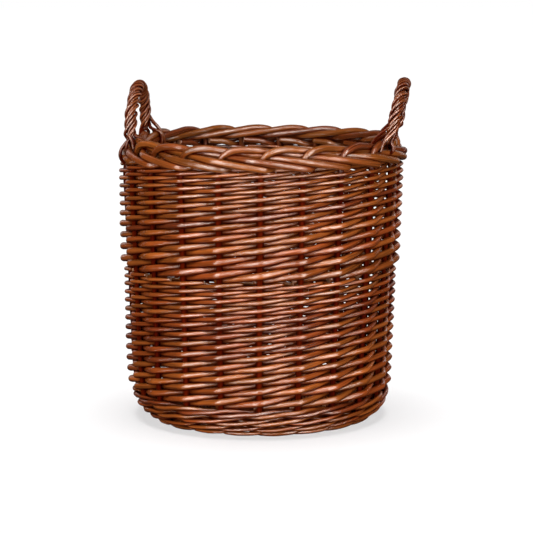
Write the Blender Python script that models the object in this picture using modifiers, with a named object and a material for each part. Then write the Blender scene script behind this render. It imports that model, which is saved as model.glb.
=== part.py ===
"""A round wicker log basket of varnished willow, standing on its woven base with its front towards -Y.

Twenty-one stakes start beside the sticks of the base, bend up through the upsett wale, run inside two
bands of randing and turn over at the rim to make the rolled border. Two rope-wound bow handles stand on
the border, one on each side. Everything is in metres with +Z up, and z = 0 is the floor.
An azimuth is in degrees, from the front (-Y) towards +X.
"""
import math

import bmesh
import bpy
from mathutils import Matrix, Vector

# Stakes and wall
STAKE_COUNT = 21
STAKE_STEP = 360.0 / STAKE_COUNT
FIRST_STAKE = -68.3
STAKE_RADIUS = 0.0038
BORDER_SWELL = 1.22  # thickness of the border's rods, of the stakes in the wall
WEAVER_DIAMETER = 0.0055
WALL_FOOT = 0.1773  # radius of the stakes' centre lines, carried down to the floor
WALL_FLARE = 0.0402  # growth of that radius for each metre of height
GAP = 0.0003  # left between neighbouring pieces
RING_STEPS = 2 * STAKE_COUNT  # facets round a turned ring

# Base
BASE_MIDDLE = 0.0115  # height of the base sticks and the stakes' tails
BASE_HALF_THICKNESS = 0.008
BASE_HOLE = 0.026
BASE_EDGE = 0.150
STICK_RADIUS = 0.0038
STICK_REACH = 0.1485
STICK_STEP = 360.0 / 14
FAN_RADIUS = 0.045  # where the sticks have fanned out from the crossing
PIERCED_COUNT = 4
PIERCED_PITCH = 0.0094
PIERCED_BULGE = 1.16
PIERCED_STRAIGHT = 0.012
THROUGH_COUNT = 3
THROUGH_PITCH = 0.0059
THROUGH_WAIST = 0.68
THROUGH_STRAIGHT = 0.021

# Heel, where the stakes turn up
TAIL_START = 0.112
TAIL_TIP = 0.75  # thickness of a tail's cut tip, of the full stake
HEEL_START = 0.154
HEEL_TOP = 0.040
HEEL_OUTSIDE = 0.0095
HEEL_INSIDE = 0.0080
FOOT_EDGE = 0.160
UPSETT_TOP = 0.0447

# Bands of randing
BAND_SEAM = 0.221
BAND_TOP = 0.3655
BAND_SWING = STAKE_RADIUS + WEAVER_DIAMETER / 2

# Border: stakes travelled, millimetres out from the wall line, millimetres below the rim
RIM = 0.401
BORDER_WALL = 0.1929
BORDER_ROUTE = (
    (0.0, 0.0, 13.0),
    (0.12, 0.0, 3.2),
    (0.5, -3.5, 0.3),
    (1.0, -9.2, 2.3),
    (1.5, -9.9, 8.0),
    (2.0, -9.6, 13.0),
    (2.5, 0.0, 14.5),
    (3.0, 9.5, 16.0),
    (3.5, 9.6, 21.8),
    (4.0, 9.4, 27.0),
    (4.5, 0.0, 29.3),
    (4.95, -9.4, 29.0),
    (5.15, -9.4, 29.0),
)

# Handles
HANDLES = (("left", -96.0, -3.0), ("right", 84.0, 13.0))  # side, azimuth, outward lean
HANDLE_PLANE = 0.184
HANDLE_FOOT = 0.4067
BOW_SWEEP = 0.0706
BOW_RADIUS = 0.0045
BOW_POINTS = 17
STRAND_COUNT = 8
STRAND_RADIUS = 0.00195
STRAND_COIL = 0.0077
STRAND_TURNS = 3.5
POINTS_A_TURN = 8
STRAND_CLEARANCE = 0.007  # height of the strands' first full turn over the bow's foot
STRAND_SPREAD = 0.005
LASHING_OUTSIDE = ((0.2096, 0.401), (0.2097, 0.370), (0.2043, 0.3550))
LASHING_INSIDE = ((0.1822, 0.4105), (0.1752, 0.402), (0.1752, 0.3550))


def clear_scene():
    for item in list(bpy.data.objects):
        bpy.data.objects.remove(item)


def new_collection(name):
    collection = bpy.data.collections.new(name)
    bpy.context.scene.collection.children.link(collection)
    return collection


def willow(name, colour, roughness):
    """Stained and varnished willow."""
    material = bpy.data.materials.new(name)
    material.use_nodes = True
    shader = material.node_tree.nodes["Principled BSDF"]
    shader.inputs["Base Color"].default_value = (*colour, 1.0)
    shader.inputs["Roughness"].default_value = roughness
    shader.inputs["Metallic"].default_value = 0.0
    return material


def place(azimuth, radius, height):
    turn = math.radians(azimuth)
    return Vector((radius * math.sin(turn), -radius * math.cos(turn), height))


def wall_radius(height):
    return WALL_FOOT + WALL_FLARE * height


def add_mesh(name, mesh, collection, material=None):
    obj = bpy.data.objects.new(name, mesh)
    collection.objects.link(obj)
    if material is not None:
        mesh.materials.clear()
        mesh.materials.append(material)
    return obj


def rod(name, points, radius, collection, material=None, scales=None):
    """A round rod along a line of points; scales thin or thicken it at each point."""
    curve = bpy.data.curves.new(name, "CURVE")
    curve.dimensions = "3D"
    curve.bevel_depth = radius
    curve.bevel_resolution = 1
    curve.use_fill_caps = True
    spline = curve.splines.new("POLY")
    spline.points.add(len(points) - 1)
    for i, point in enumerate(points):
        spline.points[i].co = (*point, 1.0)
        spline.points[i].radius = scales[i] if scales else 1.0
    spline.use_smooth = True
    if material is not None:
        curve.materials.append(material)
    obj = bpy.data.objects.new(name, curve)
    collection.objects.link(obj)
    return obj


def as_mesh(obj, collection, material=None):
    """Turns a curve or a modified object into a plain closed mesh of the same name."""
    name = obj.name
    bpy.context.view_layer.update()
    seen = obj.evaluated_get(bpy.context.evaluated_depsgraph_get())
    mesh = bpy.data.meshes.new_from_object(seen)
    mesh.transform(obj.matrix_world)
    bpy.data.objects.remove(obj)
    work = bmesh.new()
    work.from_mesh(mesh)
    bmesh.ops.remove_doubles(work, verts=work.verts, dist=0.00001)
    bmesh.ops.recalc_face_normals(work, faces=work.faces)
    work.to_mesh(mesh)
    work.free()
    mesh.name = name
    return add_mesh(name, mesh, collection, material)


def cut(obj, cutter):
    """Takes the cutter's shape out of a mesh object."""
    cutter.hide_render = True
    cutter.display_type = "WIRE"
    modifier = obj.modifiers.new("cut_" + cutter.name, "BOOLEAN")
    modifier.operation = "DIFFERENCE"
    modifier.solver = "EXACT"
    modifier.object = cutter


def joined(name, objects, collection):
    """One cutter from several separate tubes."""
    work = bmesh.new()
    for obj in objects:
        work.from_mesh(obj.data)
    mesh = bpy.data.meshes.new(name)
    work.to_mesh(mesh)
    work.free()
    for obj in objects:
        bpy.data.objects.remove(obj)
    return add_mesh(name, mesh, collection)


def heel_point(turn):
    """Radius and height on the stakes' bend; turn runs from 0 at the tail to 90 degrees at the wall."""
    t = math.radians(turn)
    reach = wall_radius(HEEL_TOP) - HEEL_START
    drop = HEEL_TOP - BASE_MIDDLE
    return HEEL_START + reach * math.sin(t), HEEL_TOP - drop * math.cos(t)


def heel_offset(turn, distance):
    """The bend's point moved outwards across the wall."""
    t = math.radians(turn)
    reach = wall_radius(HEEL_TOP) - HEEL_START
    drop = HEEL_TOP - BASE_MIDDLE
    across = Vector((math.sin(t) / reach, -math.cos(t) / drop)).normalized()
    radius, height = heel_point(turn)
    return radius + across.x * distance, height + across.y * distance


def stake_line(azimuth):
    """Tail, heel, upright and border of one stake."""
    points = [place(azimuth, TAIL_START, BASE_MIDDLE), place(azimuth, HEEL_START, BASE_MIDDLE)]
    for turn in (30.0, 60.0, 90.0):
        points.append(place(azimuth, *heel_point(turn)))
    for travel, out, drop in BORDER_ROUTE:
        there = azimuth + travel * STAKE_STEP
        points.append(place(there, BORDER_WALL + out / 1000, RIM - drop / 1000))
    return points


def stake_azimuth(index):
    return FIRST_STAKE + index * STAKE_STEP


def make_stakes(collection, material):
    swollen = [BORDER_SWELL if 0.0 < travel < 4.9 else 1.0 for travel, _, _ in BORDER_ROUTE]
    for i in range(STAKE_COUNT):
        points = stake_line(stake_azimuth(i))
        scales = [TAIL_TIP] + [1.0] * (len(points) - 1 - len(swollen)) + swollen
        rod(f"stake_{i + 1:02d}", points, STAKE_RADIUS, collection, material, scales)


def stake_channels(collection):
    """The cutters that leave room for the tails, heels and lower uprights."""
    tubes = []
    for i in range(STAKE_COUNT):
        points = stake_line(stake_azimuth(i))[:6]
        scales = [TAIL_TIP] + [1.0] * (len(points) - 1)
        tube = rod(f"channel_{i + 1:02d}", points, STAKE_RADIUS + 0.0005, collection, scales=scales)
        tubes.append(as_mesh(tube, collection))
    return joined("stake_channels", tubes, collection)


def stick_line(index, count, pitch, straight):
    """A base stick in its group's own directions: straight over the crossing, then fanned out."""
    side = index - (count - 1) / 2
    fan = math.radians(side * STICK_STEP)
    half = [
        (straight, side * pitch),
        (FAN_RADIUS * math.cos(fan), FAN_RADIUS * math.sin(fan)),
        (STICK_REACH * math.cos(fan), STICK_REACH * math.sin(fan)),
    ]
    line = [(-u, v) for u, v in reversed(half)] + half
    return [Vector((u, v, BASE_MIDDLE)) for u, v in line]


def base_sticks(collection, material, extra=0.0):
    """The four pierced sticks and the three that pass through them, each turned to its place."""
    first_end = FIRST_STAKE - STAKE_STEP / 4 - 90.0
    through_turn = Matrix.Rotation(math.radians(first_end), 4, "Z")
    pierced_turn = Matrix.Rotation(math.radians(first_end + 90.0), 4, "Z")
    made = []
    for i in range(PIERCED_COUNT):
        line = stick_line(i, PIERCED_COUNT, PIERCED_PITCH, PIERCED_STRAIGHT)
        points = [pierced_turn @ p for p in line]
        scales = (1.0, 1.0, PIERCED_BULGE, PIERCED_BULGE, 1.0, 1.0)
        stick = rod(f"base_stick_pierced_{i + 1}", points, STICK_RADIUS + extra, collection, None, scales)
        made.append(as_mesh(stick, collection, material))
    for i in range(THROUGH_COUNT):
        line = stick_line(i, THROUGH_COUNT, THROUGH_PITCH, THROUGH_STRAIGHT)
        points = [through_turn @ p for p in line]
        scales = (1.0, 1.0, THROUGH_WAIST, THROUGH_WAIST, 1.0, 1.0)
        stick = rod(f"base_stick_through_{i + 1}", points, STICK_RADIUS + extra, collection, None, scales)
        made.append(as_mesh(stick, collection, material))
    return made, pierced_turn


def slit_cutter(turn, collection):
    """The slit through the four pierced sticks."""
    waist = STICK_RADIUS * THROUGH_WAIST
    length = 2 * (THROUGH_PITCH * (THROUGH_COUNT - 1) / 2 + waist + GAP)
    bpy.ops.mesh.primitive_cube_add(size=1.0)
    box = bpy.context.object
    box.name = "slit"
    size = Matrix.Diagonal((length, PIERCED_PITCH * (PIERCED_COUNT + 1), 2 * (waist + GAP), 1.0))
    box.data.transform(Matrix.Translation((0.0, 0.0, BASE_MIDDLE)) @ turn @ size)
    for other in box.users_collection:
        other.objects.unlink(box)
    collection.objects.link(box)
    return box


def turned(name, profile, steps, collection, material):
    """A ring: a closed profile of (radius, height) turned once round the Z axis."""
    mesh = bpy.data.meshes.new(name)
    edges = [(i, (i + 1) % len(profile)) for i in range(len(profile))]
    mesh.from_pydata([(r, 0.0, z) for r, z in profile], edges, [])
    obj = add_mesh(name, mesh, collection)
    screw = obj.modifiers.new("turn", "SCREW")
    screw.angle = math.tau
    screw.steps = steps
    screw.render_steps = steps
    screw.use_merge_vertices = True
    screw.merge_threshold = 0.00001
    return as_mesh(obj, collection, material)


def make_base(collection, cutters, channels, material, weave_material):
    sticks, pierced_turn = base_sticks(collection, material)
    slit = slit_cutter(pierced_turn, cutters)
    for stick in sticks[:PIERCED_COUNT]:
        cut(stick, slit)
    low = BASE_MIDDLE - BASE_HALF_THICKNESS
    high = BASE_MIDDLE + BASE_HALF_THICKNESS
    profile = [(BASE_EDGE, high), (BASE_EDGE, low), (BASE_HOLE, low), (BASE_HOLE, high)]
    weave = turned("base_weave", profile, RING_STEPS, collection, weave_material)
    tubes, _ = base_sticks(cutters, None, extra=0.0005)
    for i, tube in enumerate(tubes):
        tube.name = f"stick_channel_{i + 1}"
        tube.hide_render = True
        tube.display_type = "WIRE"
        cut(weave, tube)
    cut(weave, channels)


def make_upsett(collection, channels, material):
    """The band of waling round the heel, flat underneath where the basket stands."""
    outer = [heel_offset(turn, HEEL_OUTSIDE) for turn in (67.5, 45.0, 22.5)]
    inner = [heel_offset(turn, -HEEL_INSIDE) for turn in (0.0, 22.5, 45.0, 67.5)]
    edge = BASE_EDGE + GAP
    profile = [(wall_radius(UPSETT_TOP) + HEEL_OUTSIDE, UPSETT_TOP), *outer]
    profile += [(FOOT_EDGE, 0.0), (edge, 0.0), (edge, inner[0][1]), *inner]
    profile += [(wall_radius(UPSETT_TOP) - HEEL_INSIDE, UPSETT_TOP)]
    ring = turned("upsett_wale", profile, RING_STEPS, collection, material)
    cut(ring, channels)


def cyclic_outline(curve, points):
    spline = curve.splines.new("POLY")
    spline.points.add(len(points) - 1)
    for i, (x, y) in enumerate(points):
        spline.points[i].co = (x, y, 0.0, 1.0)
    spline.use_cyclic_u = True


def make_band(name, low, high, collection, material):
    """A band of randing: a wall that swells round each stake and thins between, with stake holes."""
    middle = (low + high) / 2
    radius = wall_radius(middle)
    curve = bpy.data.curves.new(name, "CURVE")
    curve.dimensions = "2D"
    curve.fill_mode = "BOTH"
    curve.extrude = (high - low) / 2
    for side in (1, -1):
        outline = []
        for i in range(4 * STAKE_COUNT):
            swell = BAND_SWING * abs(math.cos(math.pi * i / 4)) + WEAVER_DIAMETER / 2
            spot = place(stake_azimuth(i / 4), radius + side * swell, 0.0)
            outline.append(spot.xy)
        cyclic_outline(curve, outline)
    for i in range(STAKE_COUNT):
        centre = place(stake_azimuth(i), radius, 0.0).xy
        hole = STAKE_RADIUS + 2.5 * GAP
        around = [math.tau * (j + 0.5) / 8 for j in range(8)]
        cyclic_outline(curve, [centre + Vector((math.cos(a), math.sin(a))) * hole for a in around])
    obj = bpy.data.objects.new(name, curve)
    obj.location.z = middle
    collection.objects.link(obj)
    band = as_mesh(obj, collection, material)
    for vertex in band.data.vertices:
        outward = vertex.co.xy.normalized() * WALL_FLARE * (vertex.co.z - middle)
        vertex.co.x += outward.x
        vertex.co.y += outward.y


def handle_frame(azimuth, lean):
    """The middle of the bow's feet, and the bow's sideways, upward and outward directions."""
    outward = place(azimuth, 1.0, 0.0)
    sideways = place(azimuth + 90.0, 1.0, 0.0)
    tilt = math.radians(lean)
    up = Vector((0.0, 0.0, 1.0)) * math.cos(tilt) + outward * math.sin(tilt)
    normal = outward * math.cos(tilt) - Vector((0.0, 0.0, 1.0)) * math.sin(tilt)
    return place(azimuth, HANDLE_PLANE, HANDLE_FOOT), sideways, up, normal


def bow_spot(frame, angle):
    """The bow's centre line and its direction of travel, from the first foot (0) to the second (pi)."""
    centre, sideways, up, _ = frame
    spot = centre + (up * math.sin(angle) - sideways * math.cos(angle)) * BOW_SWEEP
    along = up * math.cos(angle) + sideways * math.sin(angle)
    return spot, along


def lashing(azimuth, share):
    """The end of a strand, from its tip up to the border's top, outside or inside the wall."""
    outside = math.cos(share) > 0
    route = LASHING_OUTSIDE if outside else LASHING_INSIDE
    reach = 0.5 if abs(math.cos(share)) > math.cos(math.pi / 4) else 1.5
    shift = math.copysign(reach * STRAND_SPREAD, math.sin(share))
    return [place(azimuth + math.degrees(shift / HANDLE_PLANE), r, z) for r, z in reversed(route)]


def strand_line(index, azimuth, lean):
    """One strand: lashed over the border, wound up one leg of the bow, over it and down the other."""
    frame = handle_frame(azimuth, lean)
    normal = frame[3]
    half_chord = math.degrees(math.asin(BOW_SWEEP / math.hypot(BOW_SWEEP, HANDLE_PLANE)))
    start = math.asin(STRAND_CLEARANCE / BOW_SWEEP)
    step = math.tau / STRAND_COUNT
    first = math.radians(-half_chord) + step * (index + 0.5)
    total = STRAND_TURNS * math.tau
    count = int(STRAND_TURNS * POINTS_A_TURN)
    points = lashing(azimuth - half_chord, first + math.radians(half_chord))
    for i in range(count + 1):
        spot, along = bow_spot(frame, start + (math.pi - 2 * start) * i / count)
        turn = first + total * i / count
        sideways = along.cross(normal)
        points.append(spot + (normal * math.cos(turn) + sideways * math.sin(turn)) * STRAND_COIL)
    last = -(first + total) - math.radians(half_chord)
    points += reversed(lashing(azimuth + half_chord, last))
    return points


def make_handle(side, azimuth, lean, collection, material, strand_material):
    frame = handle_frame(azimuth, lean)
    bow = [bow_spot(frame, math.pi * i / (BOW_POINTS - 1))[0] for i in range(BOW_POINTS)]
    rod(f"handle_bow_{side}", bow, BOW_RADIUS, collection, material)
    for i in range(STRAND_COUNT):
        line = strand_line(i, azimuth, lean)
        rod(f"handle_strand_{side}_{i + 1}", line, STRAND_RADIUS, collection, strand_material)


def build():
    clear_scene()
    parts = new_collection("wicker_log_basket")
    cutters = new_collection("cutters")
    stake_willow = willow("stake_willow", (0.30, 0.075, 0.022), 0.42)
    weave_willow = willow("weaver_willow", (0.40, 0.120, 0.036), 0.38)
    handle_willow = willow("handle_willow", (0.36, 0.098, 0.028), 0.38)
    channels = stake_channels(cutters)
    make_stakes(parts, stake_willow)
    make_base(parts, cutters, channels, stake_willow, weave_willow)
    make_upsett(parts, channels, weave_willow)
    make_band("rand_lower", UPSETT_TOP + GAP, BAND_SEAM - GAP / 2, parts, weave_willow)
    make_band("rand_upper", BAND_SEAM + GAP / 2, BAND_TOP, parts, weave_willow)
    for side, azimuth, lean in HANDLES:
        make_handle(side, azimuth, lean, parts, stake_willow, handle_willow)


build()
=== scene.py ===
"""Looks for the wicker log basket: every rod of willow is its own tapering, slightly uneven tube.

Lengths are in metres, +Z is up and the front faces -Y. An azimuth is in degrees from the front towards +X.
Weavers and border rods travel towards a growing azimuth; travel is counted in stakes passed.
"""
import math
import random

import bpy
import numpy as np
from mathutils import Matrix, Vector


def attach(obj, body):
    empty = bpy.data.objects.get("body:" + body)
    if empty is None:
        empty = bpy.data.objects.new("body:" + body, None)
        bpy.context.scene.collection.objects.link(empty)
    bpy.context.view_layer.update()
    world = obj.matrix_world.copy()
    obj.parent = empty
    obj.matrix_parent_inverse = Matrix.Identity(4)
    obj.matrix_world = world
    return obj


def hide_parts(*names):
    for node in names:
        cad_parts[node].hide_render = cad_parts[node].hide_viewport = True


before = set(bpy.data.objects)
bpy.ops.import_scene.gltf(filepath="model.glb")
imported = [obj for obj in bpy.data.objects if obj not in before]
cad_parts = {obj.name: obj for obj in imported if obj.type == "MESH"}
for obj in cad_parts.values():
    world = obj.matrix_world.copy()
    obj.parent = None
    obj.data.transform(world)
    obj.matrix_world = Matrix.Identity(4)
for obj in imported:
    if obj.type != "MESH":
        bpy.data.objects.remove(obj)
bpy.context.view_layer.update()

BODY = "root"

# The stakes and the wall
STAKE_COUNT = 21
STAKE_STEP = 360.0 / STAKE_COUNT
FIRST_STAKE = -68.3
STAKE_RADIUS = 0.0038
WALL_FOOT = 0.1773  # radius of the stakes' centre lines, carried down to the floor
WALL_FLARE = 0.0450  # growth of that radius for each metre of height
STAKE_WANDER = (0.0006, 11.0)  # most that a stake strays sideways, and the radians of that for each metre
STAKE_LINE_STEP = 0.0032

# The basket's slackness: what moves it away from a true round, and where each movement works
LEAN = 0.006
RIGHT_PULL = 0.0030
PULL_HEIGHT = 0.37
PULL_LIMIT = 1.1  # of that height, from which the pull grows no further
LEFT_TUCK = 0.0090
TUCK_HEIGHTS = (0.355, 0.390)  # it begins at the first and is whole at the second
RIM_TILT = 0.0013
HEEL_TUCK = 0.0090
HEEL_TUCK_HEIGHTS = (0.09, 0.01)  # it begins at the first and is whole at the second
HEEL_TUCK_RADIUS = 0.16

# The base
BASE_MIDDLE = 0.0115
STICK_RADIUS = 0.0038
STICK_REACH = 0.1530
STICK_COUNT = 14
STICK_STEP = 360.0 / STICK_COUNT
STICK_LINE_STEP = 0.004
FAN_RADIUS = 0.045  # where the sticks have fanned out from the crossing
FAN_MIDDLE = 0.09
PAIRING_RADIUS = 0.0024
PAIRING_START = 0.0175
PAIRING_END = 0.1560
PAIRING_PITCH = 0.0052
PAIRING_SHIFT = 0.0012
PAIRING_SAMPLES = 6  # for each stick's end

# The two kinds of base stick: name, count, distance between them, straight length from the middle, and
# thickness in the middle as a share of the whole stick's
PIERCED_STICKS = ("pierced", 4, 0.0094, 0.012, 1.16)
THROUGH_STICKS = ("through", 3, 0.0059, 0.021, 0.68)

# The heel
TAIL_START = 0.112
TAIL_FULL = 0.135  # where a stake's tail has its full thickness
TAIL_TIP = 0.75  # thickness of its cut tip, of the full stake
HEEL_START = 0.154
HEEL_TOP = 0.040
HEEL_TURNS = (20.0, 40.0, 60.0, 80.0)
STRAIGHT_WALL = (0.055, 0.355, 8)  # heights of the stakes' straight part, and the points along it
HEEL_TRACK_TURNS = (-12.0, 90.0, 103)  # the bend that the waling follows, in degrees, and its points
HEEL_TRACK_ABOVE = (0.001, 0.020, 20)  # the wall above that bend, and its points
HEEL_TRACK_STEP = 0.001  # for the direction along it

# The waling
WALE_RADIUS = 0.0029
WALE_ROUNDS = 4
WALE_RODS = 3
WALE_SAMPLES = 8  # for each stake
WALE_ENDS = (0.06, STAKE_COUNT - 0.05)  # a rod goes once round and stops just short of its start
WALE_SPREAD = (0.94, 1.10)  # thin and thick rods
WALE_CLEARANCE = 0.0002  # over the floor
WALE_FIRST = 0.0066
WALE_PITCH = 0.0103
WALE_LIFT = 0.0030
WALE_LOW_LIFT = 0.8  # of that lift, in the lowest round
WALE_SLACK = (0.13, 0.15, 0.003)  # unevenness, its wave and the rise it gives
WALE_BOW = 0.22  # how much of its swing a rod keeps between the two stakes it passes in front of
WALE_LENGTH = 1.1  # roughly, for the waves of its unevenness
WALE_LOW_BULGE = 1.18  # how much further out the lowest round swings
WALE_BUTT = 1.12  # thickness at a rod's start, and how much of it is lost towards its end
WALE_TAPER = 0.22

# The two bands of randing: height of the first front stroke, rise for each stake, how fast that rise
# falls off, stakes travelled and how far the tip is pushed up at the end. A weaver's thickness fills
# its share of the rise.
LOWER_BAND = (0.0516, 0.0084, 0.000069, 25.62, 0.0)
UPPER_BAND = (0.2290, 0.0090, 0.000110, 22.92, 0.0018)
WEAVER_START = -0.16
WEAVER_SAMPLES = 12  # for each stake
WEAVER_DRIFT = 0.0003
WEAVER_SPREAD = (0.97, 1.04)  # thin and thick weavers
WEAVER_FILL = 1.035
WEAVER_PINCH = 0.125  # how much thicker a weaver is over a stake
WEAVER_CRISP = 0.997  # 1 would give a zigzag with sharp corners
TIP_PUSH_START = 21.3
TIP_INSIDE = 22.0
TIP_DIP_START = 22.1
TIP_DIP = 0.0034

# The border: stakes travelled, millimetres out from the wall line, millimetres below the rim
RIM = 0.4010
BORDER_WALL = 0.1929
BORDER_RADIUS = 0.0048
BORDER_ROUTE = (
    (0.00, 0.0, 22.0),
    (0.03, 0.0, 15.5),
    (0.10, -0.2, 9.3),
    (0.22, -0.6, 4.6),
    (0.38, -1.8, 1.7),
    (0.60, -4.6, 0.4),
    (0.80, -7.2, 1.0),
    (1.00, -9.2, 2.6),
    (1.50, -10.0, 6.6),
    (2.00, -9.8, 10.4),
    (2.25, -6.5, 12.2),
    (2.50, 0.0, 13.6),
    (2.75, 6.6, 14.9),
    (3.00, 9.6, 16.8),
    (3.50, 9.8, 21.6),
    (4.00, 9.2, 26.2),
    (4.14, 5.0, 27.0),
    (4.27, -2.8, 25.4),
    (4.39, -8.0, 22.6),
    (4.56, -9.6, 20.2),
    (4.96, -9.6, 18.6),
)
BORDER_BEGINS = 0.001  # length of border travelled from which a rod is all border
SWELL_HEIGHTS = (0.36, 0.39)  # between these the rod reaches the border's thickness
KINK_HEIGHT = 0.37  # the rod is squeezed where it is bent over
KINK_TRAVEL = 0.07  # stakes travelled, and how wide the squeeze is
KINK_PINCH = 0.16
TIP_TAPER_START = 3.8  # stakes travelled
TIP_TAPER_LENGTH = 1.6
TIP_RADIUS = 0.0041

# The handles: side, azimuth, lean outwards in degrees, how far out and up the bow sits, and for the foot
# towards a growing azimuth and then the other foot how far the tails spread, where they leave the bow
# and whether the thick ones outside reach down to the weaving
HANDLES = (
    ("left", -96.0, 1.0, 0.0, -0.0030, ((0.010, 0.012, True), (0.024, 0.022, False))),
    ("right", 84.0, 10.5, 0.0038, 0.0030, ((0.018, 0.018, False), (0.017, 0.017, False))),
)
HANDLE_PLANE = 0.184
HANDLE_FOOT = 0.4067
BOW_SWEEP = 0.0706
BOW_RADIUS = 0.0039
BOW_POINTS = 60

# A strand: its radius, the radius of its coil round the bow, and how far beside its pair it lies, in turns
THICK_STRAND = (0.0021, 0.0070, -0.050)
THIN_STRAND = (0.0016, 0.0052, 0.080)
STRAND_PAIRS = 4
STRAND_LEAVES = (0.20, 0.35, 0.15, 0.30, 1.00, 0.70, 0.20, 0.40)  # how high each leaves the bow
STRAND_EASE = 0.15
STRAND_TURNS = 4.0
STRAND_WANDER = (0.12, 2.9)  # of its turning: radians, and waves for each turn round the bow's centre
STRAND_LOOSENESS = (0.0008, 10.0)  # of its coil: the same two, the first in metres
COIL_START = 0.16  # the bow's angle at which its turning is counted from, at both ends
COIL_POINTS = 65
STRAND_LINE_STEP = 0.0024
FACED_LENGTH = 0.001  # short, as the open sides are carried along the strand's line with its points
TAIL_SWELL = 1.22
TAIL_MIDDLE = 0.010  # how far out from the bow's plane a tail turns from facing in to facing out
TAIL_OPEN = 0.8
TAIL_OPEN_UP = 0.5

# The ways a tail can go down from the foot of a bow: radius, height and share of the spread sideways
OUTSIDE_LASHING = (
    (0.2035, 0.4180, 0.20),
    (0.2020, 0.4090, 0.45),
    (0.2018, 0.4015, 0.65),
    (0.2065, 0.3955, 0.80),
    (0.2115, 0.3885, 0.90),
    (0.2122, 0.3815, 1.00),
    (0.2085, 0.3745, 1.05),
    (0.2010, 0.3680, 1.10),
)
SHORT_LASHING = (
    (0.2035, 0.4180, 0.20),
    (0.2015, 0.4090, 0.45),
    (0.2015, 0.4015, 0.65),
    (0.2045, 0.3955, 0.80),
    (0.2045, 0.3895, 0.90),
    (0.1985, 0.3850, 1.00),
)
DOWN_LASHING = (
    (0.1990, 0.4180, 0.35),
    (0.1985, 0.4090, 0.65),
    (0.1975, 0.4015, 0.90),
    (0.1965, 0.3950, 1.05),
    (0.1955, 0.3890, 1.15),
)
INSIDE_LASHING = (
    (0.1890, 0.4180, 0.30),
    (0.1835, 0.4095, 0.60),
    (0.1785, 0.4010, 0.85),
    (0.1765, 0.3920, 1.00),
    (0.1780, 0.3830, 1.12),
    (0.1830, 0.3750, 1.20),
)
FACING = 0.45  # from this far outwards or inwards a tail takes an outside or inside way
LASHING_DRAWN_IN = 0.0025
LASHING_STRAY = 0.0009
LASHING_GAP = 0.004

# Painted shade in the crevices and under the rods: full below the first openness of a side, none above the
# second
BETWEEN_ROWS = (0.28, 0.83)
UNDER_STRANDS = (0.30, 0.90)
OPEN_OUTWARD = 0.91
OPEN_UPWARD = 0.41
SHADE_DISTANCE = 0.009  # nearer rods than this bring painted shade with their ambient occlusion
SHADE_RANGE = (0.79, 0.30)  # light left in that occlusion: no painted shade at the first, full painted shade at the second

# A rod's own unevenness: its longest wave, the waves mixed in it and how fast the short ones weaken
UNEVEN_WAVE = 0.085
UNEVEN_PARTS = (1.0, 2.3, 4.7)
UNEVEN_FADE = 0.6

# The willow: tones from rod to rod, what the painted shade leaves of them, roughness and gloss
STAKE_TONES = ((0.083, 0.016, 0.004), (0.132, 0.029, 0.005), (0.116, 0.031, 0.005), (0.166, 0.043, 0.007))
WEAVER_TONES = ((0.091, 0.016, 0.004), (0.155, 0.030, 0.005), (0.131, 0.032, 0.005), (0.199, 0.048, 0.008))
HANDLE_TONES = ((0.094, 0.021, 0.007), (0.126, 0.031, 0.009), (0.122, 0.032, 0.009), (0.156, 0.042, 0.014))
STAKE_LOOK = (STAKE_TONES, (0.40, 0.11, 0.08), 0.19, 0.75)
WEAVER_LOOK = (WEAVER_TONES, (0.22, 0.05, 0.06), 0.155, 0.90)
HANDLE_LOOK = (HANDLE_TONES, (0.27, 0.09, 0.07), 0.17, 1.05)
STREAK_RANGE = (0.3, 0.7)  # between these, the streaks make the willow smoother or rougher
SMOOTHER = 0.07
ROUGHER = 0.09
SHINE_TINT = (1.0, 0.87, 0.77)
VARNISH = 0.15  # how much clear coat goes with the gloss
CUT_TONES = ((0.3, (0.20, 0.075, 0.032)), (0.6, (0.36, 0.160, 0.080)), (0.8, (0.44, 0.22, 0.12)))

# The grain's patterns: stretch across and along a rod, scale, detail and roughness of the noise
GRAIN_SHIFT = 40  # each rod's patterns start somewhere within this length
STREAKS = ((1.6, 1.6, 5.0), 1.6, 5.0, 0.55)
MOTTLE = ((0.8, 0.8, 38.0), 1.0, 6.0, 0.65)
FIBRES = ((9.0, 9.0, 16.0), 2.2, 3.0, 0.55)
KNOTS = (0.55, 0.55, 13.0)
STREAK_DEPTH = 0.85
STREAK_SHADES = ((0.30, (0.42, 0.42, 0.42)), (0.48, (0.92, 0.92, 0.92)), (0.72, (1.50, 1.50, 1.50)))
MOTTLE_DEPTH = 0.7
MOTTLE_SHADES = ((0.30, (0.62, 0.66, 0.60)), (0.55, (1.0, 1.0, 1.0)), (0.75, (1.12, 1.10, 1.2)))
KNOT_DEPTH = 0.75
KNOT_SHADES = ((0.05, (0.35, 0.35, 0.35)), (0.11, (0.8, 0.8, 0.8)), (0.15, (1.0, 1.0, 1.0)))

# The lights: name, azimuth, distance, height, width, tallness, power, and whether it shows in reflections
STRIPS = (
    ("strip_left", -32.0, 2.4, 0.95, 0.50, 3.9, 152.0, True),
    ("strip_right", 32.0, 2.4, 0.95, 0.50, 3.9, 152.0, True),
    ("fill_back_left", -138.0, 2.6, 1.0, 1.2, 2.6, 120.0, False),
    ("fill_back_right", 138.0, 2.6, 1.0, 1.2, 2.6, 120.0, False),
    ("sheen_back_left", -150.0, 2.6, 1.3, 0.6, 2.6, 5.0, True),
    ("sheen_back_right", 150.0, 2.6, 1.3, 0.6, 2.6, 5.0, True),
)
STRIP_AIM = (0.0, 0.0, 0.22)
WORLD_STRENGTH = 0.022

# The suns that light the floor: name, power, size in degrees and whether they cast shadows
FLOOR_SUNS = (
    ("floor_glow", 2.26, 1.0, False),
    ("floor_sun", 1.36, 34.0, True),
)

# The camera
CAMERA_PLACE = (0.011, -2.76, 0.617)
CAMERA_TILT = 81.69
CAMERA_LENS = 130.0
CAMERA_SENSOR = 36.0

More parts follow.
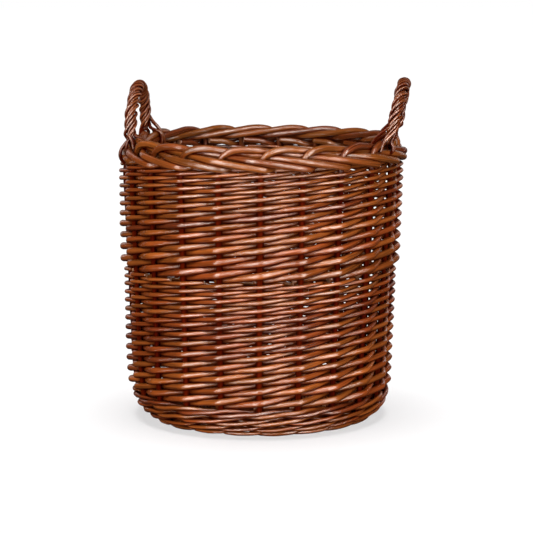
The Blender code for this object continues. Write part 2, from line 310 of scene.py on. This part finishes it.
RANDOM = random.Random(218)


# --- geometry -------------------------------------------------------------------------------------


def place(azimuth, radius, height):
    turn = math.radians(azimuth)
    return np.array((radius * math.sin(turn), -radius * math.cos(turn), height))


def share(value, start, end):
    """How far a value, or each of many, has gone from start to end: 0 to 1."""
    return np.clip((value - start) / (end - start), 0.0, 1.0)


def stake_azimuth(index):
    return FIRST_STAKE + index * STAKE_STEP


def wall_radius(height):
    return WALL_FOOT + WALL_FLARE * height


def smooth_line(controls, step):
    """A Catmull-Rom curve through control points of any dimension, with points about one step apart."""
    controls = np.array(controls, float)
    first = 2 * controls[0] - controls[1]
    last = 2 * controls[-1] - controls[-2]
    held = np.vstack([first, controls, last])
    line = []
    for i in range(1, len(held) - 2):
        a, b, c, d = held[i - 1 : i + 3]
        pull = 2 * a - 5 * b + 4 * c - d
        twist = 3 * b - 3 * c + d - a
        count = max(1, int(math.ceil(np.linalg.norm(c - b) / step)))
        for t in np.arange(count) / count:
            line.append(0.5 * (2 * b + (c - a) * t + pull * t**2 + twist * t**3))
    line.append(controls[-1])
    return np.array(line)


def sweep_frames(points):
    """Two directions across the line at each point, carried along it without twisting."""
    ahead = np.gradient(points, axis=0)
    ahead /= np.linalg.norm(ahead, axis=1)[:, None]
    start = np.cross(ahead[0], (0.0, 0.0, 1.0))
    if np.linalg.norm(start) < 0.3:  # the line starts almost upright
        start = np.cross(ahead[0], (1.0, 0.0, 0.0))
    across = [start / np.linalg.norm(start)]
    for direction in ahead[1:]:
        side = across[-1] - direction * np.dot(across[-1], direction)
        across.append(side / np.linalg.norm(side))
    across = np.array(across)
    return across, np.cross(ahead, across)


def settled(points):
    """The basket's own slackness: it leans to the right, its handles draw the right side out and tuck
    the left side of the border in, its heel is rounder on the left and its rim is lower in front.
    """
    moved = np.array(points, float)
    rise = moved[:, 2].copy()
    radius = np.maximum(np.hypot(moved[:, 0], moved[:, 1]), 0.001)
    rightward = np.clip(moved[:, 0] / radius, 0.0, 1.0) ** 3
    leftward = np.clip(-moved[:, 0] / radius, 0.0, 1.0) ** 5
    near_rim = share(rise, *TUCK_HEIGHTS)
    near_heel = share(rise, *HEEL_TUCK_HEIGHTS) * share(radius, 0.0, HEEL_TUCK_RADIUS) ** 2
    moved[:, 0] += LEAN * rise
    moved[:, 0] += RIGHT_PULL * rightward * np.clip(rise / PULL_HEIGHT, 0.0, PULL_LIMIT) ** 2
    moved[:, 0] += LEFT_TUCK * leftward * near_rim**2 * (3 - 2 * near_rim)
    moved[:, 0] += HEEL_TUCK * leftward * near_heel**2
    moved[:, 2] += RIM_TILT * moved[:, 1] / BORDER_WALL * (rise / RIM) ** 2
    return moved


def uneven(count, length, amount, wave):
    """Slow random swelling along a rod, as a factor for each point."""
    factor = np.ones(count)
    along = np.linspace(0.0, length, count)
    for part in UNEVEN_PARTS:
        phase = RANDOM.uniform(0, math.tau)
        factor += amount / part**UNEVEN_FADE * np.sin(math.tau * along * part / wave + phase)
    return factor


# --- rods -----------------------------------------------------------------------------------------


def tube_mesh(name, spots, material):
    """A smooth tube through rings of spots, closed by two flat cut ends."""
    count, sides = spots.shape[:2]
    faces = []
    for i in range(count - 1):
        for j in range(sides):
            k = (j + 1) % sides
            faces.append((i * sides + j, i * sides + k, (i + 1) * sides + k, (i + 1) * sides + j))
    last = (count - 1) * sides
    faces.append(tuple(range(sides))[::-1])
    faces.append(tuple(range(last, last + sides)))
    mesh = bpy.data.meshes.new(name)
    mesh.from_pydata(spots.reshape(-1, 3).tolist(), [], faces)
    mesh.materials.append(material)
    mesh.materials.append(CUT_END)
    mesh.shade_smooth()
    for cap in (len(faces) - 2, len(faces) - 1):
        mesh.polygons[cap].material_index = 1
        mesh.polygons[cap].use_smooth = False
    return mesh


def painted_shade_between_rows(ring, points):
    """Painted shade on the sides that a weaver turns to its neighbours, most of all underneath."""
    out = points * (1.0, 1.0, 0.0)
    out /= np.linalg.norm(out, axis=1)[:, None]
    outward = np.abs((ring * out[:, None, :]).sum(2))
    return 1 - share(OPEN_OUTWARD * outward + OPEN_UPWARD * ring[:, :, 2], *BETWEEN_ROWS)


def painted_shade_under_strands(ring, faced):
    """Painted shade on the sides of a strand that aren't turned the way it faces."""
    return 1 - share((ring * faced[:, None, :]).sum(2), *UNDER_STRANDS)


def keep_numbers(mesh, name, numbers):
    """A number for each point of a mesh, kept for its material."""
    kept = mesh.attributes.new(name, "FLOAT", "POINT")
    kept.data.foreach_set("value", numbers.reshape(-1))


def keep_grain(mesh, turn, along):
    """Each point's place on its rod, kept for the material's patterns: round it and along it."""
    grain = np.zeros((len(along), len(turn), 3))
    grain[:, :, 0] = np.cos(turn)[None, :]
    grain[:, :, 1] = np.sin(turn)[None, :]
    grain[:, :, 2] = along[:, None] + RANDOM.uniform(0, GRAIN_SHIFT)
    kept = mesh.attributes.new("grain", "FLOAT_VECTOR", "POINT")
    kept.data.foreach_set("vector", grain.reshape(-1))


def rod(name, points, radii, material, sides=10, roughen=0.025, painted_shade=0.0, packed=False, faced=None):
    """A rod of willow. Its painted shade is given along it, or follows from its neighbours if it is packed
    between rows, or from the directions it faces if it lies on a bow.
    """
    points = settled(points)
    along = np.concatenate([[0.0], np.cumsum(np.linalg.norm(np.diff(points, axis=0), axis=1))])
    radii = np.array(radii, float) * uneven(len(points), along[-1], roughen, UNEVEN_WAVE)
    across, over = sweep_frames(points)
    turn = np.arange(sides) * math.tau / sides
    ring = np.cos(turn)[None, :, None] * across[:, None, :] + np.sin(turn)[None, :, None] * over[:, None, :]
    mesh = tube_mesh(name, points[:, None, :] + radii[:, None, None] * ring, material)
    keep_grain(mesh, turn, along)
    keep_numbers(mesh, "tone", np.full(ring.shape[:2], RANDOM.random()))
    painted_shading = np.zeros(ring.shape[:2]) + np.broadcast_to(painted_shade, (len(points),))[:, None]
    if packed:
        painted_shading = painted_shade_between_rows(ring, points)
    if faced is not None:
        painted_shading = painted_shade_under_strands(ring, faced)
    # Painted shade for each point, kept for the material
    keep_numbers(mesh, "painted_shade", painted_shading)
    obj = bpy.data.objects.new(name, mesh)
    bpy.context.scene.collection.objects.link(obj)
    return obj


def keep(obj, node):
    """Ties a piece to the basket's body and hides the CAD node that it stands for."""
    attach(obj, BODY)
    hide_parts(node)


# --- materials ------------------------------------------------------------------------------------


def node_adder(tree):
    """A function that adds a node to an emptied tree, and sets or links the inputs given to it."""
    tree.nodes.clear()

    def add(kind, inputs=(), **settings):
        node = tree.nodes.new(kind)
        for key, value in settings.items():
            setattr(node, key, value)
        for key, value in dict(inputs).items():
            if isinstance(value, bpy.types.NodeSocket):
                tree.links.new(value, node.inputs[key])
            else:
                node.inputs[key].default_value = value
        return node

    return add


def stretched_grain(add, stretch):
    grain = add("ShaderNodeAttribute", attribute_name="grain")
    node = add("ShaderNodeVectorMath", {0: grain.outputs["Vector"], 1: stretch}, operation="MULTIPLY")
    return node.outputs["Vector"]


def noise(add, stretch, scale, detail, rough):
    inputs = {"Vector": stretched_grain(add, stretch), "Scale": scale, "Detail": detail, "Roughness": rough}
    return add("ShaderNodeTexNoise", inputs).outputs["Fac"]


def ramp(add, value, stops):
    node = add("ShaderNodeValToRGB", {"Fac": value})
    elements = node.color_ramp.elements
    while len(elements) < len(stops):
        elements.new(0.5)
    for element, (position, colour) in zip(elements, stops):
        element.position = position
        element.color = (*colour, 1.0)
    return node.outputs["Color"]


def mix(add, kind, amount, first, second):
    inputs = {"Factor": amount, "A": first, "B": second}
    return add("ShaderNodeMix", inputs, data_type="RGBA", blend_type=kind).outputs["Result"]


def map_range(add, value, start, end, to_start, to_end):
    inputs = {"Value": value, "From Min": start, "From Max": end, "To Min": to_start, "To Max": to_end}
    return add("ShaderNodeMapRange", inputs).outputs["Result"]


def calculate(add, operation, first, second):
    return add("ShaderNodeMath", {0: first, 1: second}, operation=operation).outputs["Value"]


def bare_colour(add, tones, streaks, knots):
    """The colour of unstained willow: a tone for each rod, streaked, mottled and knotted."""
    tone = add("ShaderNodeAttribute", attribute_name="tone")
    stops = [(i / (len(tones) - 1), colour) for i, colour in enumerate(tones)]
    colour = ramp(add, tone.outputs["Fac"], stops)
    colour = mix(add, "MULTIPLY", STREAK_DEPTH, colour, ramp(add, streaks, STREAK_SHADES))
    mottle = noise(add, *MOTTLE)
    colour = mix(add, "MULTIPLY", MOTTLE_DEPTH, colour, ramp(add, mottle, MOTTLE_SHADES))
    return mix(add, "MULTIPLY", KNOT_DEPTH, colour, ramp(add, knots, KNOT_SHADES))


def painted_crevice_shade(add):
    """Painted shade kept with the rod, and more of it where other rods are close and occlude it."""
    kept = add("ShaderNodeAttribute", attribute_name="painted_shade")
    # Ambient occlusion of near rods, painted into the colour as shade
    nearby = add("ShaderNodeAmbientOcclusion", {"Distance": SHADE_DISTANCE}, samples=6)
    crevice = map_range(add, nearby.outputs["AO"], *SHADE_RANGE, 0.0, 1.0)
    return calculate(add, "MAXIMUM", kept.outputs["Fac"], crevice)


def grain_relief(add, knots):
    """The fine relief of the fibres and knots."""
    fibres = {"Height": noise(add, *FIBRES), "Strength": 0.4, "Distance": 0.0006}
    relief = add("ShaderNodeBump", fibres).outputs["Normal"]
    hollows = {"Height": knots, "Strength": 0.2, "Distance": 0.0008, "Normal": relief}
    return add("ShaderNodeBump", hollows, invert=True).outputs["Normal"]


def willow(name, tones, painted_shade_tint, roughness, gloss):
    """Stained, varnished willow, darkened, redder and without gloss where painted shade is laid on."""
    material = bpy.data.materials.new(name)
    material.use_nodes = True
    add = node_adder(material.node_tree)
    streaks = noise(add, *STREAKS)
    knotted = {"Vector": stretched_grain(add, KNOTS), "Scale": 1.0}
    knots = add("ShaderNodeTexVoronoi", knotted, feature="F1").outputs["Distance"]
    colour = bare_colour(add, tones, streaks, knots)
    # Painted shade: darkens the colour and takes away the gloss and varnish
    painted_shade = painted_crevice_shade(add)
    painted_shading = mix(add, "MULTIPLY", 1.0, colour, (*painted_shade_tint, 1.0))
    shine = map_range(add, painted_shade, 0.0, 1.0, gloss, 0.0)
    shader = add(
        "ShaderNodeBsdfPrincipled",
        {
            "Base Color": mix(add, "MIX", painted_shade, colour, painted_shading),
            "Roughness": map_range(add, streaks, *STREAK_RANGE, roughness - SMOOTHER, roughness + ROUGHER),
            "Specular IOR Level": shine,
            "Specular Tint": (*SHINE_TINT, 1.0),
            "Coat Weight": calculate(add, "MULTIPLY", shine, VARNISH),
            "Coat Roughness": 0.12,
            "Normal": grain_relief(add, knots),
        },
    )
    add("ShaderNodeOutputMaterial", {"Surface": shader.outputs["BSDF"]})
    return material


def cut_willow():
    """The pale, dry, speckled wood of a cut end."""
    material = bpy.data.materials.new("cut_end_willow")
    material.use_nodes = True
    add = node_adder(material.node_tree)
    where = add("ShaderNodeTexCoord").outputs["Object"]
    speckle = add("ShaderNodeTexNoise", {"Vector": where, "Scale": 900.0, "Detail": 3.0}).outputs["Fac"]
    relief = add("ShaderNodeBump", {"Height": speckle, "Strength": 0.4, "Distance": 0.0004})
    look = {
        "Base Color": ramp(add, speckle, CUT_TONES),
        "Roughness": 0.7,
        "Normal": relief.outputs["Normal"],
    }
    shader = add("ShaderNodeBsdfPrincipled", look)
    add("ShaderNodeOutputMaterial", {"Surface": shader.outputs["BSDF"]})
    return material


CUT_END = cut_willow()
STAKE_WILLOW = willow("stake_willow", *STAKE_LOOK)
WEAVER_WILLOW = willow("weaver_willow", *WEAVER_LOOK)
HANDLE_WILLOW = willow("handle_willow", *HANDLE_LOOK)


# --- stakes and border ----------------------------------------------------------------------------


def heel_point(turn):
    """Radius and height of the stakes' middle, a given turn in degrees round the bend of the heel."""
    t = math.radians(turn)
    reach = wall_radius(HEEL_TOP) - HEEL_START
    drop = HEEL_TOP - BASE_MIDDLE
    return HEEL_START + reach * math.sin(t), HEEL_TOP - drop * math.cos(t)


def stake_line():
    """The way of every stake from base to border: length of border travelled, radius and height."""
    controls = [(0.0, reach, BASE_MIDDLE) for reach in (TAIL_START, TAIL_FULL, HEEL_START)]
    controls += [(0.0, *heel_point(turn)) for turn in HEEL_TURNS]
    controls += [(0.0, wall_radius(height), height) for height in np.linspace(*STRAIGHT_WALL)]
    for travel, out, drop in BORDER_ROUTE:
        arc = math.radians(travel * STAKE_STEP) * BORDER_WALL
        controls.append((arc, BORDER_WALL + out / 1000, RIM - drop / 1000))
    return smooth_line(controls, STAKE_LINE_STEP)


def stake_thickness(travelled, radius, height, in_border):
    """A stake's own radius at one place on its way."""
    size = STAKE_RADIUS + (BORDER_RADIUS - STAKE_RADIUS) * in_border
    if height > KINK_HEIGHT:
        size *= 1 - KINK_PINCH * math.exp(-(((travelled - KINK_TRAVEL) / KINK_TRAVEL) ** 2))
    if travelled > TIP_TAPER_START:
        size -= (size - TIP_RADIUS) * (travelled - TIP_TAPER_START) / TIP_TAPER_LENGTH
    return size * (TAIL_TIP + (1 - TAIL_TIP) * share(radius, TAIL_START, TAIL_FULL))


def make_stake(line, index):
    most, waves = STAKE_WANDER
    wander = RANDOM.uniform(-most, most)
    points = []
    radii = []
    painted_shade = []
    for arc, radius, height in line:
        turned = math.degrees(arc / BORDER_WALL)
        stray = math.degrees(wander * math.sin(height * waves) / radius)
        points.append(place(stake_azimuth(index) + turned + stray, radius, height))
        in_border = share(height, *SWELL_HEIGHTS) if arc < BORDER_BEGINS else 1.0
        radii.append(stake_thickness(turned / STAKE_STEP, radius, height, in_border))
        # Painted shade on the part of the stake that stands in the weave, none on the border
        painted_shade.append(1.0 - in_border)
    name = f"willow_stake_{index + 1:02d}"
    stake = rod(name, points, radii, STAKE_WILLOW, sides=12, roughen=0.02, painted_shade=painted_shade)
    keep(stake, f"stake_{index + 1:02d}")


# --- the wall's weaving ---------------------------------------------------------------------------


def crisp_swing(travel):
    """A zigzag with rounded corners: 1 in front of every odd stake and -1 behind every even one."""
    return math.asin(WEAVER_CRISP * math.cos(math.pi * (travel - 1))) / math.asin(WEAVER_CRISP)


def make_weaver(band, index, numbers):
    """One weaver of randing: in front of one stake and behind the next, rising a row at every stake."""
    first, rise, fade, stakes, tip_push = numbers
    drift = RANDOM.uniform(-WEAVER_DRIFT, WEAVER_DRIFT)
    fill = WEAVER_FILL * RANDOM.uniform(*WEAVER_SPREAD)
    points = []
    radii = []
    for travel in np.arange(WEAVER_START, stakes, 1 / WEAVER_SAMPLES):
        height = first + rise * (travel - 1) - fade * (travel - 1) ** 2 + drift
        if tip_push:
            height += tip_push * share(travel, TIP_PUSH_START, TIP_PUSH_START + 1) ** 2
            height -= TIP_DIP * max(0.0, travel - TIP_DIP_START)
        inside = travel < 0 or (tip_push and travel > TIP_INSIDE)
        side = -1.0 if inside else crisp_swing(travel)
        size = fill * (rise - 2 * fade * (travel - 1)) / 2
        radius = wall_radius(height) + (STAKE_RADIUS + size) * side
        points.append(place(stake_azimuth(index + travel), radius, height))
        radii.append(size * (1 + WEAVER_PINCH * abs(side)))
    name = f"willow_weaver_{band}_{index + 1:02d}"
    weaver = rod(name, points, radii, WEAVER_WILLOW, sides=12, roughen=0.03, packed=True)
    keep(weaver, f"rand_{band}")


# --- the heel's waling ----------------------------------------------------------------------------


def heel_track():
    """Radius and height of places up the bend and the lower wall, and each one's distance along that
    way from the start of the bend.
    """
    turns = np.linspace(*HEEL_TRACK_TURNS)
    spots = [heel_point(t) for t in turns]
    for height in HEEL_TOP + np.linspace(*HEEL_TRACK_ABOVE):
        spots.append((wall_radius(height), height))
    spots = np.array(spots)
    travelled = np.concatenate([[0.0], np.cumsum(np.linalg.norm(np.diff(spots, axis=0), axis=1))])
    return spots, travelled - travelled[np.argmin(np.abs(turns))]


def on_heel(track, distance, out):
    """Radius and height at a distance along the heel's track and a distance out from it."""
    spots, travelled = track
    behind, here, ahead = (
        np.array([np.interp(distance + shift, travelled, spots[:, axis]) for axis in (0, 1)])
        for shift in (-HEEL_TRACK_STEP, 0.0, HEEL_TRACK_STEP)
    )
    along_r, along_z = (ahead - behind) / np.linalg.norm(ahead - behind)
    return here[0] + along_z * out, here[1] - along_r * out


def wale_swing(travel, round_index):
    """How far out a wale rod's middle is: in front of two stakes, then behind the third."""
    swing = 1 / 3 - 4 / 3 * math.cos(math.tau * travel / WALE_RODS)
    if swing > 1:
        swing = 1 + (swing - 1) * WALE_BOW
    out = swing * (STAKE_RADIUS + WALE_RADIUS)
    return out * WALE_LOW_BULGE if round_index == 0 and out > 0 else out


def make_wale(track, round_index, rod_index):
    """One rod of a round of three-rod waling."""
    start = rod_index + WALE_RODS * (2 * round_index + 1)
    centre = WALE_FIRST + WALE_PITCH * round_index
    reach = WALE_LIFT * (1.0 if round_index else WALE_LOW_LIFT)
    travels = np.arange(*WALE_ENDS, 1 / WALE_SAMPLES)
    amount, wave, sag = WALE_SLACK
    sway = uneven(len(travels), WALE_LENGTH, amount, wave)
    thickness = WALE_RADIUS * RANDOM.uniform(*WALE_SPREAD)
    points = []
    radii = []
    for travel, slack in zip(travels, sway):
        lift = sag * (slack - 1) - reach * math.sin(math.tau * travel / WALE_RODS) * slack
        radius, height = on_heel(track, centre + lift, wale_swing(travel, round_index))
        height = max(height, WALE_RADIUS + WALE_CLEARANCE)
        points.append(place(stake_azimuth(start + travel), radius, height))
        radii.append(thickness * (WALE_BUTT - WALE_TAPER * travel / STAKE_COUNT))
    name = f"willow_wale_{round_index + 1}_{rod_index + 1}"
    wale = rod(name, points, radii, WEAVER_WILLOW, roughen=0.03, packed=True)
    keep(wale, "upsett_wale")


# --- the base -------------------------------------------------------------------------------------


def stick_line(side, pitch, straight):
    """The way of a base stick, from end to end: straight in the middle and fanned out on both sides."""
    fan = math.radians(side * STICK_STEP)
    half = [(straight, side * pitch)]
    for reach in (FAN_RADIUS, FAN_MIDDLE, STICK_REACH):
        half.append((reach * math.cos(fan), reach * math.sin(fan)))
    whole = [(-u, v) for u, v in reversed(half)] + [(0.0, side * pitch)] + half
    return smooth_line([(u, v, BASE_MIDDLE) for u, v in whole], STICK_LINE_STEP)


def make_sticks(group, count, pitch, straight, middle, turn):
    """One of the two groups of base sticks, lying along a direction given in radians."""
    along = np.array((math.cos(turn), math.sin(turn), 0.0))
    aside = np.array((-math.sin(turn), math.cos(turn), 0.0))
    for i in range(count):
        line = stick_line(i - (count - 1) / 2, pitch, straight)
        points = [along * u + aside * v + np.array((0.0, 0.0, z)) for u, v, z in line]
        fanned = share(np.hypot(line[:, 0], line[:, 1]), straight, FAN_RADIUS)
        radii = STICK_RADIUS * (middle + (1 - middle) * fanned)
        name = f"willow_stick_{group}_{i + 1}"
        stick = rod(name, points, radii, STAKE_WILLOW, sides=12, roughen=0.02)
        keep(stick, f"base_stick_{group}_{i + 1}")


def make_pairing(first_end):
    """Two rods twined round the base sticks in one long spiral, from a stick's end at an azimuth."""
    rounds = (PAIRING_END - PAIRING_START) / PAIRING_PITCH
    for k in range(2):
        points = []
        for travel in np.arange(0.0, rounds * STICK_COUNT, 1 / PAIRING_SAMPLES):
            phase = math.pi * (travel + k)
            radius = PAIRING_START + PAIRING_PITCH * travel / STICK_COUNT + PAIRING_SHIFT * math.sin(phase)
            height = BASE_MIDDLE + (STICK_RADIUS + PAIRING_RADIUS) * math.cos(phase)
            points.append(place(first_end + travel * STICK_STEP, radius, height))
        name = f"willow_pairing_{k + 1}"
        pairing = rod(name, points, PAIRING_RADIUS, WEAVER_WILLOW, sides=8, roughen=0.04)
        keep(pairing, "base_weave")


def make_base():
    """The base sticks lie so that their ends miss the stakes."""
    first_end = FIRST_STAKE - STAKE_STEP / 4
    turn = math.radians(first_end - 90.0)
    make_sticks(*PIERCED_STICKS, turn + math.pi / 2)
    make_sticks(*THROUGH_STICKS, turn)
    make_pairing(first_end)


# --- handles --------------------------------------------------------------------------------------


def handle_frame(azimuth, lean, out, raised):
    """A bow's centre, and its directions sideways, up and out of its plane."""
    outward = place(azimuth, 1.0, 0.0)
    sideways = place(azimuth + 90.0, 1.0, 0.0)
    tilt = math.radians(lean)
    rise = np.array((0.0, 0.0, 1.0))
    up = rise * math.cos(tilt) + outward * math.sin(tilt)
    normal = outward * math.cos(tilt) - rise * math.sin(tilt)
    return place(azimuth, HANDLE_PLANE + out, HANDLE_FOOT + raised), sideways, up, normal


def bow_spot(shape, angle):
    """A place on a bow's middle line, and the direction along it."""
    centre, sideways, up, _ = shape
    spot = centre + (up * math.sin(angle) - sideways * math.cos(angle)) * BOW_SWEEP
    along = up * math.cos(angle) + sideways * math.sin(angle)
    return spot, along


def lashing(azimuth, turn, spread, leave, long):
    """The way a strand's tail takes over the border, from its end up to where it leaves the bow."""
    facing = math.cos(turn)
    route = DOWN_LASHING
    if facing > FACING:
        route = OUTSIDE_LASHING if long else SHORT_LASHING
    if facing < -FACING:
        route = INSIDE_LASHING
    shift = math.sin(turn) * spread
    drawn_in = RANDOM.uniform(0.0, LASHING_DRAWN_IN)
    points = []
    for radius, height, fan in route:
        if height < HANDLE_FOOT + leave - LASHING_GAP:
            aside = shift * fan + RANDOM.uniform(-LASHING_STRAY, LASHING_STRAY)
            points.append(place(azimuth + math.degrees(aside / HANDLE_PLANE), radius - drawn_in, height))
    return points[::-1]


def tail_outward(spot):
    """The open side of a tail: away from the border, and a little upwards."""
    radius = math.hypot(spot[0], spot[1])
    away = TAIL_OPEN if radius > HANDLE_PLANE + TAIL_MIDDLE else -TAIL_OPEN
    return np.array((away * spot[0] / radius, away * spot[1] / radius, TAIL_OPEN_UP))


def coil_turn(angle):
    """How much of its turning a strand has done: it lies steeper at the legs and winds tighter on top."""
    done = (angle - COIL_START) / (math.pi - 2 * COIL_START)
    return math.tau * STRAND_TURNS * (done - STRAND_EASE * math.sin(math.tau * done) / math.tau)


def strand_coil(shape, coil, first, start, end):
    """The part of a strand that winds round its bow: its points, their open sides and its turning."""
    amount, waves = STRAND_WANDER
    loose, loose_waves = STRAND_LOOSENESS
    phases = (RANDOM.uniform(0, math.tau), RANDOM.uniform(0, math.tau))
    points = []
    outward = []
    turns = []
    for angle in np.linspace(start, end, COIL_POINTS):
        spot, along = bow_spot(shape, angle)
        turn = first + coil_turn(angle) + amount * math.sin(angle) * math.sin(waves * angle + phases[0])
        open_side = shape[3] * math.cos(turn) + np.cross(along, shape[3]) * math.sin(turn)
        points.append(spot + open_side * (coil + loose * math.sin(loose_waves * angle + phases[1])))
        outward.append(open_side)
        turns.append(turn)
    return points, outward, turns


def strand_line(index, shape, azimuth, feet):
    """One strand: its tail at one foot, its coil round the bow and its tail at the other foot."""
    (spread_a, lift_a, long_a), (spread_b, lift_b, long_b) = feet
    leave_a = lift_a * STRAND_LEAVES[-1 - index]
    leave_b = lift_b * STRAND_LEAVES[index]
    thick = index % 2 == 0
    radius, coil, beside = THICK_STRAND if thick else THIN_STRAND
    half_chord = math.asin(BOW_SWEEP / math.hypot(BOW_SWEEP, HANDLE_PLANE))
    aside = math.degrees(half_chord)
    first = math.tau * (index // 2 / STRAND_PAIRS + beside) - half_chord
    start = math.asin(leave_b / BOW_SWEEP)
    end = math.pi - math.asin(leave_a / BOW_SWEEP)
    points, outward, turns = strand_coil(shape, coil, first, start, end)
    head = lashing(azimuth - aside, turns[0] + half_chord, spread_b, leave_b, long_b and thick)
    tail = lashing(azimuth + aside, -turns[-1] - half_chord, spread_a, leave_a, long_a and thick)[::-1]
    outward = [tail_outward(spot) for spot in head] + outward + [tail_outward(spot) for spot in tail]
    swollen = radius * TAIL_SWELL
    radii = [swollen] * len(head) + [radius] * len(points) + [swollen] * len(tail)
    controls = np.column_stack([head + points + tail, np.array(outward) * FACED_LENGTH, radii])
    line = smooth_line(controls, STRAND_LINE_STEP)
    faced = line[:, 3:6] / np.linalg.norm(line[:, 3:6], axis=1)[:, None]
    return line[:, :3], faced, line[:, 6]


def make_handle(side, azimuth, lean, out, raised, feet):
    shape = handle_frame(azimuth, lean, out, raised)
    bow = [bow_spot(shape, angle)[0] for angle in np.linspace(0.0, math.pi, BOW_POINTS)]
    name = f"willow_bow_{side}"
    # Painted shade on the bow, which lies under its strands
    core = rod(name, bow, BOW_RADIUS, HANDLE_WILLOW, sides=12, roughen=0.02, painted_shade=0.8)
    keep(core, f"handle_bow_{side}")
    for i in range(2 * STRAND_PAIRS):
        line, faced, radii = strand_line(i, shape, azimuth, feet)
        name = f"willow_strand_{side}_{i + 1}"
        strand = rod(name, line, radii, HANDLE_WILLOW, roughen=0.07, faced=faced)
        keep(strand, f"handle_strand_{side}_{i + 1}")


# --- studio ---------------------------------------------------------------------------------------


def make_floor():
    """A white floor that lights nothing and doesn't show in the varnish."""
    bpy.ops.mesh.primitive_plane_add(size=60.0, location=(0.0, 20.0, 0.0))
    floor = bpy.context.object
    floor.name = "studio_floor"
    material = bpy.data.materials.new("studio_floor")
    material.use_nodes = True
    add = node_adder(material.node_tree)
    shader = add("ShaderNodeBsdfPrincipled", {"Base Color": (0.93, 0.93, 0.935, 1.0), "Roughness": 0.9})
    add("ShaderNodeOutputMaterial", {"Surface": shader.outputs["BSDF"]})
    floor.data.materials.append(material)
    floor.visible_glossy = False
    floor.visible_diffuse = False
    floor.visible_shadow = False
    return floor


def make_lamp(name, kind, energy, receivers):
    """A lamp that lights only what its light-linking collection says."""
    lamp = bpy.data.lights.new(name, kind)
    lamp.energy = energy
    obj = bpy.data.objects.new(name, lamp)
    obj.light_linking.receiver_collection = receivers
    bpy.context.scene.collection.objects.link(obj)
    return obj


def make_strip(name, azimuth, distance, height, width, tall, power, glossy, receivers):
    obj = make_lamp(name, "AREA", power, receivers)
    obj.data.shape = "RECTANGLE"
    obj.data.size = width
    obj.data.size_y = tall
    obj.location = place(azimuth, distance, height)
    aim = Vector(STRIP_AIM) - obj.location
    obj.rotation_euler = aim.to_track_quat("-Z", "Y").to_euler()
    obj.visible_glossy = glossy


def make_sun(name, power, angle, shadows, receivers):
    """Light from straight above."""
    obj = make_lamp(name, "SUN", power, receivers)
    obj.data.angle = math.radians(angle)
    obj.data.use_shadow = shadows


def receivers_of(floor, only_floor):
    """A light-linking collection: only the floor, or everything but the floor."""
    receivers = bpy.data.collections.new("floor_only" if only_floor else "not_the_floor")
    receivers.objects.link(floor)
    if not only_floor:
        receivers.collection_objects[0].light_linking.link_state = "EXCLUDE"
    return receivers


def make_world():
    """White behind everything the camera sees, and hardly any light from it."""
    world = bpy.data.worlds.new("studio")
    bpy.context.scene.world = world
    world.use_nodes = True
    add = node_adder(world.node_tree)
    path = add("ShaderNodeLightPath")
    dim = add("ShaderNodeBackground", {"Color": (1.0, 0.98, 0.96, 1.0), "Strength": WORLD_STRENGTH})
    seen = add("ShaderNodeBackground", {"Color": (1.0, 1.0, 1.0, 1.0)})
    backgrounds = {1: dim.outputs["Background"], 2: seen.outputs["Background"]}
    choose = add("ShaderNodeMixShader", {0: path.outputs["Is Camera Ray"], **backgrounds})
    add("ShaderNodeOutputWorld", {"Surface": choose.outputs["Shader"]})


def make_camera():
    camera = bpy.data.cameras.new("camera")
    camera.lens = CAMERA_LENS
    camera.sensor_width = CAMERA_SENSOR
    obj = bpy.data.objects.new("camera", camera)
    obj.location = CAMERA_PLACE
    obj.rotation_euler = (math.radians(CAMERA_TILT), 0.0, 0.0)
    bpy.context.scene.collection.objects.link(obj)
    bpy.context.scene.camera = obj


def make_studio():
    floor = make_floor()
    off_floor = receivers_of(floor, False)
    on_floor = receivers_of(floor, True)
    for strip in STRIPS:
        make_strip(*strip, off_floor)
    for sun in FLOOR_SUNS:
        make_sun(*sun, on_floor)
    make_world()
    make_camera()
    bpy.context.scene.view_settings.view_transform = "Standard"


def build():
    line = stake_line()
    for i in range(STAKE_COUNT):
        make_stake(line, i)
    for i in range(STAKE_COUNT):
        make_weaver("lower", i, LOWER_BAND)
        make_weaver("upper", i, UPPER_BAND)
    track = heel_track()
    for round_index in range(WALE_ROUNDS):
        for rod_index in range(WALE_RODS):
            make_wale(track, round_index, rod_index)
    make_base()
    for handle in HANDLES:
        make_handle(*handle)
    make_studio()


build()
